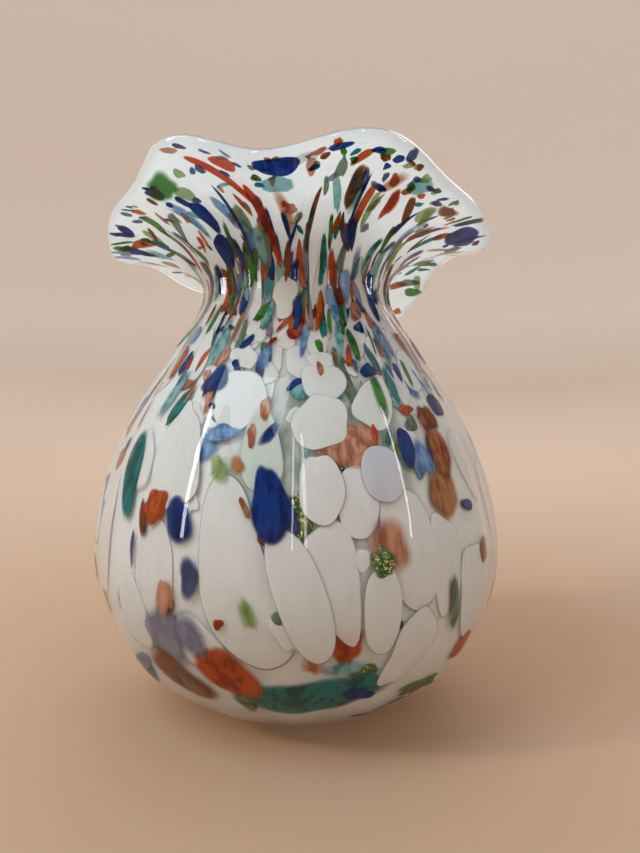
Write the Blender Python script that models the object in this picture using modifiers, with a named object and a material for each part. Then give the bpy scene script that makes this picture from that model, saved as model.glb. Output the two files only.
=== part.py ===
"""Hand blown art glass vase with a pear body, narrow neck and ruffled lip.

The wall is made as the maker builds it up: a clear lining bubble, flattened chips of opal and
coloured glass picked up on it in two layers, and a clear ribbed casing that closes over all of
them at the lip and carries the ground flat base. Metres, +Z up, origin at the base's centre, with
turn angles counted from the front (-Y) towards the right (+X).
"""

import math

import bmesh
import bpy
import numpy as np

# Outer wall: height above the base and radius, from the base's edge up to the neck.
BODY_STATIONS = (
    (0.000, 0.031),
    (0.006, 0.044),
    (0.017, 0.0585),
    (0.037, 0.0708),
    (0.057, 0.0745),
    (0.082, 0.0709),
    (0.107, 0.0606),
    (0.130, 0.0464),
    (0.152, 0.0351),
)
RIM_HEIGHT = 0.1755
RIM_RADIUS = 0.0690

# Ruffles of the lip: turn and spread in degrees, then how far each lobe goes out and up.
LOBES = (
    (-27, 14, 0.0095, 0.006),
    (17, 18, 0.0090, 0.006),
    (93, 14, 0.0060, -0.003),
    (149, 22, 0.0190, -0.020),
    (-150, 26, 0.0120, -0.008),
    (-95, 18, 0.0030, -0.007),
)

# Soft vertical ribs left by the optic mould.
RIB_COUNT = 14
RIB_RISE = 0.0009

# The wall from outside to inside: how deep each layer starts and ends.
CASING = (0.0, 0.0013)
COLOUR_LAYER = (0.00190, 0.00240)
WHITE_LAYER = (0.00275, 0.00330)
LINING = (0.00375, 0.00475)
FLOOR_EXTRA = 1.0
FLOOR_FADE = 0.020
LIP_THINNING = 0.30
LIP_HEIGHT = 0.0030
LIP_BULGE = 0.0011
GAP = 0.0003

# How finely the turned walls are divided: round the axis, up the body and up the flare, with the
# nearest that a row comes to the wall's ends.
TURN_STEPS = 56
BODY_ROW = 0.0115
FLARE_ROW = 0.0065
END_ROOM = 0.001
MERGE = 0.00001

# How finely the wall's curve is worked out, and how far each way its slope is taken.
CURVE_STEPS = 600
SLOPE_REACH = 0.0015

# How finely a chip is divided: sides round it, rings at each end, and length for each middle ring.
CHIP_SIDES = 8
CHIP_END_RINGS = 2
CHIP_RING = 0.009

# Chips: name, glass, layer, turn in degrees, distance along the wall from the base's edge to the
# chip's middle, length, width (all in millimetres), and lean in degrees (+ leans left at the top).
CHIPS = (
    ("white_shoulder_left", "white", "white", -18, 133, 20, 16, 12),
    ("white_shoulder_mid", "white", "white", 7, 126, 16, 15, 0),
    ("white_shoulder_heart", "white", "white", 25, 133, 17, 12, -28),
    ("white_shoulder_top", "white", "white", 8, 140, 8, 12, 0),
    ("white_neck_front", "white", "white", -4, 168, 14, 8, 0),
    ("white_middle_left", "white", "white", -6, 115, 22, 11, 10),
    ("white_middle_egg", "white", "white", 4, 104, 21, 11, 3),
    ("white_middle_right", "white", "white", 14, 101, 20, 10, -3),
    ("white_middle_far", "white", "white", 24, 108, 17, 11, -4),
    ("white_tall_left", "white", "white", -34, 115, 32, 15, 4),
    ("white_long_sweep", "white", "white", -13, 75, 54, 17, 16),
    ("white_long_leaning", "white", "white", 0, 74, 37, 13, 17),
    ("white_front_tapered", "white", "white", 10, 78, 28, 12, 12),
    ("white_low_short", "white", "white", 19, 65, 22, 9, 0),
    ("white_low_right", "white", "white", 29, 55, 23, 12, -24),
    ("white_tall_right", "white", "white", 27, 86, 25, 11, 8),
    ("white_right_slim", "white", "white", 37, 79, 26, 10, 2),
    ("white_right_edge", "white", "white", 50, 67, 29, 12, 12),
    ("white_left_low", "white", "white", -33, 74, 26, 14, 8),
    ("white_side_right", "white", "white", 72, 92, 34, 16, -8),
    ("white_side_left", "white", "white", -62, 86, 40, 17, 6),
    ("white_back_right", "white", "white", 118, 84, 42, 18, 10),
    ("white_back_middle", "white", "white", 170, 96, 38, 18, -6),
    ("white_back_left", "white", "white", -118, 92, 40, 18, -10),
    ("cobalt_drop", "cobalt", "colour", -5, 101, 18, 9, 14),
    ("cobalt_left_upper", "cobalt", "colour", -30, 91, 14, 6, 20),
    ("cobalt_left_lower", "slate", "colour", -24, 78, 12, 6, 2),
    ("cobalt_right", "cobalt", "colour", 29, 117, 12, 5, -6),
    ("cobalt_shoulder", "cobalt", "colour", -28, 138, 12, 7, -20),
    ("cobalt_neck", "cobalt", "colour", -43, 190, 11, 5, 8),
    ("cobalt_lip_front", "cobalt", "colour", -6, 218, 5, 11, 0),
    ("cobalt_lip_right", "cobalt", "colour", 88, 217, 7, 12, 0),
    ("cobalt_low_front", "cobalt", "colour", 17, 43, 4, 11, 0),
    ("lavender_left", "lavender", "colour", -33, 58, 13, 10, 24),
    ("salmon_front", "salmon", "colour", 14, 117, 11, 13, 0),
    ("salmon_halo", "salmon", "colour", 21, 90, 12, 7, 10),
    ("tan_right", "tan", "colour", 40, 101, 13, 12, 0),
    ("amber_right", "amber", "colour", 44, 115, 13, 7, -8),
    ("amber_upper_right", "amber", "colour", 44, 129, 9, 6, -6),
    ("orange_left", "orange", "colour", -38, 96, 10, 7, 0),
    ("orange_low_left", "orange", "colour", -17, 48, 17, 7, 42),
    ("orange_low_front", "orange", "colour", 12, 57, 12, 7, 24),
    ("orange_low_right", "orange", "colour", 47, 52, 12, 6, -18),
    ("orange_lip_streak", "orange", "colour", -15, 196, 20, 4, 12),
    ("red_lip_left", "orange", "colour", -18, 216, 7, 4, 40),
    ("brown_low_left", "brown", "colour", -34, 41, 20, 6, 42),
    ("brown_lip_streak", "brown", "colour", 20, 206, 16, 3, 0),
    ("teal_low_front", "teal", "colour", 3, 40, 8, 27, -10),
    ("teal_left", "teal", "colour", -48, 105, 20, 6, 8),
    ("aqua_shoulder_left", "aqua", "colour", -34, 153, 17, 5, 0),
    ("green_glitter", "aventurine", "colour", 1, 96, 13, 4, 8),
    ("green_lip_left", "leaf", "colour", -41, 213, 13, 8, 30),
    ("green_right", "leaf", "colour", 41, 69, 18, 5, 14),
    ("dark_glitter", "aventurine", "colour", 20, 80, 7, 5, 40),
    ("cobalt_back", "cobalt", "colour", 150, 122, 20, 9, 10),
    ("orange_back", "orange", "colour", -150, 72, 20, 9, -12),
    ("green_back", "leaf", "colour", 180, 132, 16, 7, 0),
    ("teal_back", "teal", "colour", -92, 120, 20, 8, 8),
)

# Glass colours: base colour, roughness and how much light goes through.
GLASSES = {
    "clear": ((0.90, 0.93, 0.93), 0.03, 1.0),
    "white": ((0.86, 0.86, 0.84), 0.12, 0.0),
    "cobalt": ((0.01, 0.05, 0.32), 0.08, 0.3),
    "slate": ((0.16, 0.19, 0.36), 0.10, 0.3),
    "lavender": ((0.36, 0.36, 0.48), 0.10, 0.3),
    "salmon": ((0.68, 0.30, 0.17), 0.10, 0.2),
    "tan": ((0.52, 0.27, 0.13), 0.10, 0.2),
    "amber": ((0.45, 0.14, 0.04), 0.10, 0.3),
    "orange": ((0.62, 0.12, 0.02), 0.08, 0.3),
    "brown": ((0.28, 0.07, 0.02), 0.08, 0.3),
    "teal": ((0.04, 0.28, 0.27), 0.08, 0.3),
    "aqua": ((0.26, 0.56, 0.56), 0.08, 0.3),
    "leaf": ((0.12, 0.30, 0.06), 0.08, 0.3),
    "aventurine": ((0.05, 0.07, 0.02), 0.25, 0.0),
}


def station_slopes():
    """Slope of radius against height at each station, from its neighbours."""
    heights = [height for height, _ in BODY_STATIONS]
    radii = [radius for _, radius in BODY_STATIONS]
    slopes = []
    for i in range(len(heights)):
        before = max(i - 1, 0)
        after = min(i + 1, len(heights) - 1)
        slopes.append((radii[after] - radii[before]) / (heights[after] - heights[before]))
    slopes[-1] = 0.0
    return heights, radii, slopes


def body_radius(height):
    """Smooth curve through the body stations."""
    heights, radii, slopes = station_slopes()
    i = max(k for k in range(len(heights) - 1) if heights[k] <= height)
    span = heights[i + 1] - heights[i]
    x = (height - heights[i]) / span
    start = (1 + 2 * x) * (1 - x) ** 2 * radii[i] + x * (1 - x) ** 2 * span * slopes[i]
    end = x * x * (3 - 2 * x) * radii[i + 1] + x * x * (x - 1) * span * slopes[i + 1]
    return start + end


def wall_curve():
    """The outer wall before it is ruffled, as rows of (radius, height, flare), with its lengths."""
    neck_height, neck_radius = BODY_STATIONS[-1]
    rows = []
    for height in np.linspace(0.0, neck_height, CURVE_STEPS, endpoint=False):
        rows.append((body_radius(height), height, 0.0))
    for flare in np.linspace(0.0, 1.0, CURVE_STEPS // 3):
        swing = flare * math.pi / 2
        radius = neck_radius + (RIM_RADIUS - neck_radius) * (1 - math.cos(swing))
        height = neck_height + (RIM_HEIGHT - neck_height) * math.sin(swing)
        rows.append((radius, height, flare))
    rows = np.array(rows)
    steps = np.hypot(np.diff(rows[:, 0]), np.diff(rows[:, 1]))
    return rows, np.concatenate([[0.0], np.cumsum(steps)])


CURVE, LENGTHS = wall_curve()
WALL_LENGTH = LENGTHS[-1]


def wall_point(along, depth):
    """(radius, height, flare) at a distance along the wall and a depth into it."""
    place = np.clip(along, 0.0, WALL_LENGTH)
    radius, height, flare = (np.interp(place, LENGTHS, CURVE[:, i]) for i in range(3))
    low = max(place - SLOPE_REACH, 0.0)
    high = min(place + SLOPE_REACH, WALL_LENGTH)
    run = np.interp(high, LENGTHS, CURVE[:, 0]) - np.interp(low, LENGTHS, CURVE[:, 0])
    rise = np.interp(high, LENGTHS, CURVE[:, 1]) - np.interp(low, LENGTHS, CURVE[:, 1])
    size = math.hypot(run, rise)
    depth = depth * (1 + FLOOR_EXTRA * max(0.0, 1 - height / FLOOR_FADE) ** 2)
    depth = depth * (1 - LIP_THINNING * flare)
    return radius - depth * rise / size, height + depth * run / size, flare


def shaped(radius, height, flare, turn, rib):
    """The point after ribbing and ruffling, in x, y and z. Turn is in radians from the front."""
    out = up = 0.0
    for lobe_turn, spread, lobe_out, lobe_up in LOBES:
        off = (math.degrees(turn) - lobe_turn + 180) % 360 - 180
        share = math.exp(-((off / spread) ** 2))
        out += lobe_out * share
        up += lobe_up * share
    swing = flare * math.pi / 2
    fade = min(1.0, height / FLOOR_FADE) * (1 - 0.5 * flare)
    radius += out * (1 - math.cos(swing)) + rib * RIB_RISE * fade * math.cos(RIB_COUNT * turn)
    height += up * math.sin(swing)
    return radius * math.sin(turn), -radius * math.cos(turn), height


def glass_material(name):
    colour, roughness, clearness = GLASSES[name]
    material = bpy.data.materials.new(name + "_glass")
    material.use_nodes = True
    shader = material.node_tree.nodes["Principled BSDF"]
    shader.inputs["Base Color"].default_value = (*colour, 1.0)
    shader.inputs["Roughness"].default_value = roughness
    shader.inputs["Metallic"].default_value = 0.0
    shader.inputs["Transmission Weight"].default_value = clearness
    material.diffuse_color = (*colour, 1.0)
    return material


def turned_shell(name, outline, material, collection):
    """Turns an outline of (radius, height, flare, rib) about Z, then ribs and ruffles it."""
    profile = bpy.data.meshes.new(name + "_outline")
    points = [(radius, 0.0, height) for radius, height, _, _ in outline]
    profile.from_pydata(points, [(i, i + 1) for i in range(len(points) - 1)], [])
    flares = profile.attributes.new("flare", "FLOAT", "POINT")
    flares.data.foreach_set("value", [row[2] for row in outline])
    ribs = profile.attributes.new("rib", "FLOAT", "POINT")
    ribs.data.foreach_set("value", [row[3] for row in outline])
    turned = bpy.data.objects.new(name + "_turned", profile)
    collection.objects.link(turned)
    screw = turned.modifiers.new("turn", "SCREW")
    screw.steps = TURN_STEPS
    screw.render_steps = TURN_STEPS
    screw.use_merge_vertices = True
    screw.merge_threshold = MERGE
    bpy.context.view_layer.update()
    graph = bpy.context.evaluated_depsgraph_get()
    mesh = bpy.data.meshes.new_from_object(turned.evaluated_get(graph))
    bpy.data.objects.remove(turned)
    mesh.name = name
    for vertex in mesh.vertices:
        x, y, z = vertex.co
        flare = mesh.attributes["flare"].data[vertex.index].value
        rib = mesh.attributes["rib"].data[vertex.index].value
        vertex.co = shaped(math.hypot(x, y), z, flare, math.atan2(x, -y), rib)
    shell = bpy.data.objects.new(name, mesh)
    collection.objects.link(shell)
    mesh.materials.clear()
    mesh.materials.append(material)
    mesh.shade_smooth()
    return shell


def wall_rows(start, end, depth, rib):
    """Outline rows up the wall at one depth, closer together at the foot and in the flare."""
    neck = np.interp(BODY_STATIONS[-1][0], CURVE[:, 1], LENGTHS)
    marks = list(np.arange(0.0, neck - BODY_ROW / 2, BODY_ROW))
    marks += list(np.arange(neck, WALL_LENGTH, FLARE_ROW))
    inside = [mark for mark in marks if start + END_ROOM < mark < end - END_ROOM]
    return [(*wall_point(mark, depth), rib) for mark in [start, *inside, end]]


def make_casing(collection):
    """The outer gather: ribbed outside, plain inside, closed over the lining at the lip."""
    shut = WALL_LENGTH - LIP_HEIGHT
    inner = wall_rows(0.0, shut, CASING[1], 0.0)
    rim_outer = wall_point(WALL_LENGTH, CASING[0])
    rim_inner = wall_point(WALL_LENGTH, LINING[1])
    middle_radius = (rim_outer[0] + rim_inner[0]) / 2 + LIP_BULGE
    middle_height = (rim_outer[1] + rim_inner[1]) / 2
    outer = wall_rows(0.0, WALL_LENGTH, CASING[0], 1.0)
    outline = [(0.0, inner[0][1], 0.0, 0.0), *inner]
    outline += [(*wall_point(shut, LINING[1]), 0.0), (*rim_inner, 0.0)]
    outline += [(middle_radius, middle_height, 1.0, 0.0), *reversed(outer)]
    outline += [(0.0, 0.0, 0.0, 0.0)]
    return turned_shell("casing", outline, glass_material("clear"), collection)


def make_lining(collection):
    """The first bubble, which forms the inside of the vase."""
    end = WALL_LENGTH - LIP_HEIGHT - GAP
    inner = wall_rows(0.0, end, LINING[1], 0.0)
    outer = wall_rows(0.0, end, LINING[0], 0.0)
    outline = [(0.0, inner[0][1], 0.0, 0.0), *inner, *reversed(outer), (0.0, outer[0][1], 0.0, 0.0)]
    return turned_shell("lining", outline, glass_material("clear"), collection)


def make_chip(name, layer, place, size, lean, material, collection):
    """A lens of glass, flattened and bent to the wall."""
    turn, along = place
    length, width = size
    layers = {"colour": COLOUR_LAYER, "white": WHITE_LAYER}
    top, bottom = layers[layer]
    middle_depth = (top + bottom) / 2
    mesh = bpy.data.meshes.new(name)
    shape = bmesh.new()
    rings = 2 * (round(length / (2 * CHIP_RING)) + CHIP_END_RINGS)
    bmesh.ops.create_uvsphere(shape, u_segments=CHIP_SIDES, v_segments=rings, radius=1.0)
    middle_radius = wall_point(along, middle_depth)[0]
    for vertex in shape.verts:
        x, y, z = vertex.co
        across, up = x * width / 2, z * length / 2
        side = across * math.cos(lean) + up * math.sin(lean)
        climb = up * math.cos(lean) - across * math.sin(lean)
        depth = middle_depth + y * (bottom - top) / 2
        where = wall_point(along + climb, depth)
        vertex.co = shaped(*where, turn + side / middle_radius, 0.0)
    shape.to_mesh(mesh)
    shape.free()
    mesh.materials.append(material)
    mesh.shade_smooth()
    chip = bpy.data.objects.new(name, mesh)
    collection.objects.link(chip)
    return chip


def main():
    for old in list(bpy.data.objects):
        bpy.data.objects.remove(old)
    collection = bpy.data.collections.new("art_glass_vase")
    bpy.context.scene.collection.children.link(collection)
    make_casing(collection)
    make_lining(collection)
    glasses = {glass: glass_material(glass) for glass in sorted({chip[1] for chip in CHIPS})}
    for name, glass, layer, turn, along, length, width, lean in CHIPS:
        place = (math.radians(turn), along / 1000)
        size = (length / 1000, width / 1000)
        make_chip(name, layer, place, size, math.radians(-lean), glasses[glass], collection)


main()
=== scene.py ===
import math
import random

import bpy
import numpy as np
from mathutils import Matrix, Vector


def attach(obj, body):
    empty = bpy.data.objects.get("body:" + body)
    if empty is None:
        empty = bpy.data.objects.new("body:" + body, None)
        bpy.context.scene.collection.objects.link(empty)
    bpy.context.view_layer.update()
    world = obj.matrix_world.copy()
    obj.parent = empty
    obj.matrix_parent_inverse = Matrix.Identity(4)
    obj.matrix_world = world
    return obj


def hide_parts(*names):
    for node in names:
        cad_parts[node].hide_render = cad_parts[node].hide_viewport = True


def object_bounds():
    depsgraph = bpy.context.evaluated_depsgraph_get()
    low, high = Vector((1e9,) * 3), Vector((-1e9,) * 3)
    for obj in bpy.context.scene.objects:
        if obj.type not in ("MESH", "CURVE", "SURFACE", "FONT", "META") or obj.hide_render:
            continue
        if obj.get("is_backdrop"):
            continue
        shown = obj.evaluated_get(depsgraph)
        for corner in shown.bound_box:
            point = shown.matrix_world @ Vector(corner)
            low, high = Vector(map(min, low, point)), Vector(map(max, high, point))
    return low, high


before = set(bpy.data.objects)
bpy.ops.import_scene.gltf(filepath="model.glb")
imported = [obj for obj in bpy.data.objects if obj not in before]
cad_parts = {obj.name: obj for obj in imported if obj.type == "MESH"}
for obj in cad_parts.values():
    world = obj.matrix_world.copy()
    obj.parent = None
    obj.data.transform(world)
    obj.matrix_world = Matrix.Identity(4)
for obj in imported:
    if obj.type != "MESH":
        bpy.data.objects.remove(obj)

bl_info = {
    "name": "Ruffled art glass vase",
    "version": (1, 0, 0),
    "blender": (4, 5, 0),
    "location": "3D View > Sidebar > Vase",
    "description": "Blown vase of clear ribbed glass over milky and coloured chips, with a ruffled lip",
    "category": "Add Mesh",
}

CAD_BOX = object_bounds()
MM = 0.001

# Outer wall: height above the base and radius, from the base's edge up to the neck.
BODY_STATIONS = (
    (0.000, 0.031),
    (0.006, 0.044),
    (0.017, 0.0585),
    (0.037, 0.0708),
    (0.057, 0.0745),
    (0.082, 0.0709),
    (0.107, 0.0606),
    (0.130, 0.0464),
    (0.152, 0.0351),
)
RIM_HEIGHT = 0.1755
RIM_RADIUS = 0.0690

# Ruffles of the lip: turn and spread in degrees, then how far each lobe goes out and up.
LOBES = (
    (-27, 14, 0.0095, 0.006),
    (17, 18, 0.0090, 0.006),
    (93, 14, 0.0060, -0.003),
    (149, 22, 0.0190, -0.020),
    (-150, 26, 0.0120, -0.008),
    (-95, 18, 0.0030, -0.007),
)

# How the ribs soften in the flare, and how sharp their crests are.
RIB_FLARE_FADE = 0.5
RIB_SHARPNESS = 0.3

# How the wall thickens towards the floor and thins towards the lip.
FLOOR_EXTRA = 1.0
FLOOR_FADE = 0.020
LIP_THINNING = 0.48
LIP_BULGE = 0.0007
INNER_DEPTH = 0.00475

# How finely the wall's curve is worked out, how far each way its slope is taken, and how near two
# points are before they are merged.
CURVE_STEPS = 900
SLOPE_REACH = 0.0015
MERGE = 0.000002

# The milky skin: its two faces' depths, how far it stops short of the lip, and how it is divided.
MILK_DEPTH = (0.00352, 0.00372)
MILK_END_ROOM = 0.0003
MILK_ROW = 0.0032
MILK_TURN_STEPS = 168

# Depth of the chips in the wall, one step further in for each level.
FIRST_DEPTH = 0.00150
LEVEL_DEPTH = 0.00050
CHIP_THICKNESS = 0.00040
FRIT_LEVELS = (0.5, 1.5, 2.5)
WHITE_LEVELS = (1.0, 1.5, 2.0, 2.5)
PATCH_LEVEL = 0.4
NECK_WHITE_LEVEL = 3.0
CLOUD_LEVEL = 3.2

# Shape of a chip: how square its outline is, how full its edge is, where a bent one balances, and
# how uneven the outlines of long and short chips are.
SQUARENESS = 2.3
EDGE_FULLNESS = 0.8
BEND_BALANCE = 0.3
LONG_CHIP = 16
LONG_WOBBLE = 0.14
SHORT_WOBBLE = 0.24
WOBBLE_WAVES = (2, 3, 5)

# Segments and rings of the lenses that the chips are cut from.
LARGE_BLANK = (36, 16)
OPAL_BLANK = (24, 8)
SMALL_BLANK = (14, 4)

# Chips that stand for the frame's own: name, glass, turn in degrees, distance up the wall, length,
# width (mm), lean (degrees, + leans right at the top), level, taper, bend and softness of the edge.
CHIPS = (
    ("white_shoulder_left", "white", -18, 134, 22, 17, -8, 1, 0.1, 0.0, 0.1),
    ("white_shoulder_mid", "white", 7, 126, 18, 17, 6, 0, -0.1, 0.0, 0.05),
    ("white_shoulder_heart", "white", 25, 133, 20, 12, 30, 1, -0.35, 0.0, 0.05),
    ("white_shoulder_top", "white", 9, 140, 15, 14, 0, 1, 0.1, 0.0, 0.05),
    ("white_neck_front", "white", -6, 174, 15, 8, 0, 0, 0.2, 0.0, 0.1),
    ("white_middle_left", "mint", -9, 117, 25, 13, -8, 1, -0.2, 0.2, 0.05),
    ("white_middle_egg", "white", 6, 105, 21, 13, -3, 0, -0.1, 0.0, 0.05),
    ("white_middle_right", "white", 15, 101, 22, 13, 2, 1, 0.1, 0.0, 0.05),
    ("white_middle_far", "pearl", 22, 109, 18, 13, 4, 0, 0.0, 0.0, 0.05),
    ("white_tall_left", "white", -34, 115, 36, 18, -4, 1, -0.3, 0.1, 0.1),
    ("white_long_sweep", "white", -13, 78, 60, 23, -14, 2, -0.1, 0.3, 0.05),
    ("white_long_leaning", "white", 1, 74, 41, 15, -18, 0, -0.1, 0.1, 0.04),
    ("white_front_tapered", "white", 9, 77, 37, 15, -13, 1, 0.35, 0.1, 0.04),
    ("white_low_short", "white", 20, 69, 27, 12, -2, 0, -0.1, 0.0, 0.05),
    ("white_low_right", "white", 29, 55, 28, 14, 14, 0, 0.1, -0.2, 0.04),
    ("white_tall_right", "white", 28, 86, 38, 19, -10, 2, 0.1, 0.0, 0.05),
    ("white_right_slim", "white", 39, 80, 30, 14, -5, 2, 0.1, 0.0, 0.1),
    ("white_right_edge", "white", 52, 68, 34, 18, -14, 1, 0.0, 0.1, 0.1),
    ("white_left_low", "white", -36, 78, 30, 18, 0, 3, 0.0, 0.0, 0.05),
    ("white_side_right", "white", 72, 92, 36, 18, -6, 1, 0.1, 0.0, 0.1),
    ("white_side_left", "white", -62, 86, 42, 20, 6, 1, -0.1, 0.1, 0.1),
    ("white_back_right", "white", 118, 84, 44, 19, 10, 1, 0.1, 0.0, 0.1),
    ("white_back_middle", "white", 170, 96, 40, 19, -6, 1, -0.1, 0.1, 0.1),
    ("white_back_left", "white", -118, 92, 42, 19, -10, 1, 0.1, 0.0, 0.1),
    ("cobalt_drop", "cobalt", -6, 101, 23, 12, -14, -0.9, -0.45, 0.1, 0.2),
    ("cobalt_left_upper", "cobalt", -29, 95, 18, 9, -22, 1, -0.1, 0.1, 0.4),
    ("cobalt_left_lower", "slate", -25, 78, 13, 7, 2, 1, 0.1, 0.0, 0.5),
    ("cobalt_right", "cobalt", 31, 117, 13, 6, 2, 0, 0.0, 0.1, 0.1),
    ("cobalt_shoulder", "cobalt", -28, 141, 13, 8, 24, 0, -0.2, 0.0, 0.3),
    ("cobalt_neck", "cobalt", -41, 191, 12, 6, -8, 0, 0.2, 0.1, 0.1),
    ("cobalt_lip_front", "cobalt", -5, 220, 9, 13, 8, 0, 0.1, 0.0, 0.1),
    ("cobalt_lip_right", "cobalt", 82, 218, 12, 15, 20, 0, 0.2, 0.0, 0.15),
    ("cobalt_low_front", "cobalt", 18, 38, 5, 12, 10, 0, 0.1, 0.2, 0.15),
    ("lavender_left", "lavender", -34, 58, 22, 20, -22, 2, 0.1, 0.0, 0.6),
    ("salmon_front", "salmon", 15, 118, 15, 22, 0, 1, 0.1, 0.0, 0.4),
    ("salmon_halo", "salmon", 22, 88, 19, 14, -24, 0.5, 0.0, 0.0, 0.8),
    ("tan_right", "tan", 41, 102, 18, 15, 0, 1, 0.0, 0.0, 0.4),
    ("amber_right", "amber", 44, 115, 20, 11, 8, 0, 0.1, 0.0, 0.4),
    ("amber_upper_right", "amber", 43, 127, 10, 6, 6, 1, 0.1, 0.0, 0.3),
    ("orange_left", "orange", -37, 98, 11, 11, -4, 0, 0.1, 0.0, 0.25),
    ("orange_low_left", "orange", -17, 46, 26, 15, -42, 1, 0.3, 0.1, 0.3),
    ("orange_low_front", "orange", 12, 58, 15, 10, -12, 1.5, 0.2, 0.0, 0.4),
    ("orange_low_right", "orange", 52, 50, 13, 7, 16, 1, 0.0, 0.0, 0.3),
    ("orange_lip_streak", "red", -13, 197, 26, 3, -12, 0, 0.1, 0.5, 0.1),
    ("red_lip_left", "red", -21, 210, 24, 3, -34, 0, 0.3, 0.4, 0.1),
    ("brown_low_left", "brown", -34, 42, 28, 16, -46, 1, 0.1, 0.2, 0.4),
    ("brown_lip_streak", "brown", 20, 207, 16, 4, -4, 1, 0.1, 0.3, 0.2),
    ("teal_low_front", "teal", 5, 37, 19, 42, -6, 2, 0.2, 0.1, 0.35),
    ("teal_left", "teal", -50, 107, 32, 9, -10, 0, 0.2, 0.1, 0.3),
    ("aqua_shoulder_left", "aqua", -33, 155, 18, 6, 6, 1, 0.1, 0.2, 0.3),
    ("green_glitter", "glitter", 1, 95, 20, 8, -6, 2, 0.2, 0.0, 0.4),
    ("green_lip_left", "leaf", -42, 219, 12, 12, 30, 0.5, 0.1, 0.0, 0.4),
    ("green_right", "sage", 42, 67, 21, 6, -14, 0, 0.1, 0.0, 0.5),
    ("dark_glitter", "glitter", 20, 83, 11, 8, -30, 0, 0.2, 0.0, 0.4),
    ("cobalt_back", "cobalt", 150, 122, 20, 9, 10, 0, 0.1, 0.1, 0.2),
    ("orange_back", "orange", -150, 72, 20, 10, -12, 0, 0.1, 0.0, 0.2),
    ("green_back", "leaf", 180, 132, 17, 8, 0, 0, 0.1, 0.0, 0.3),
    ("teal_back", "teal", -92, 120, 22, 9, 8, 0, 0.2, 0.0, 0.3),
)

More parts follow.
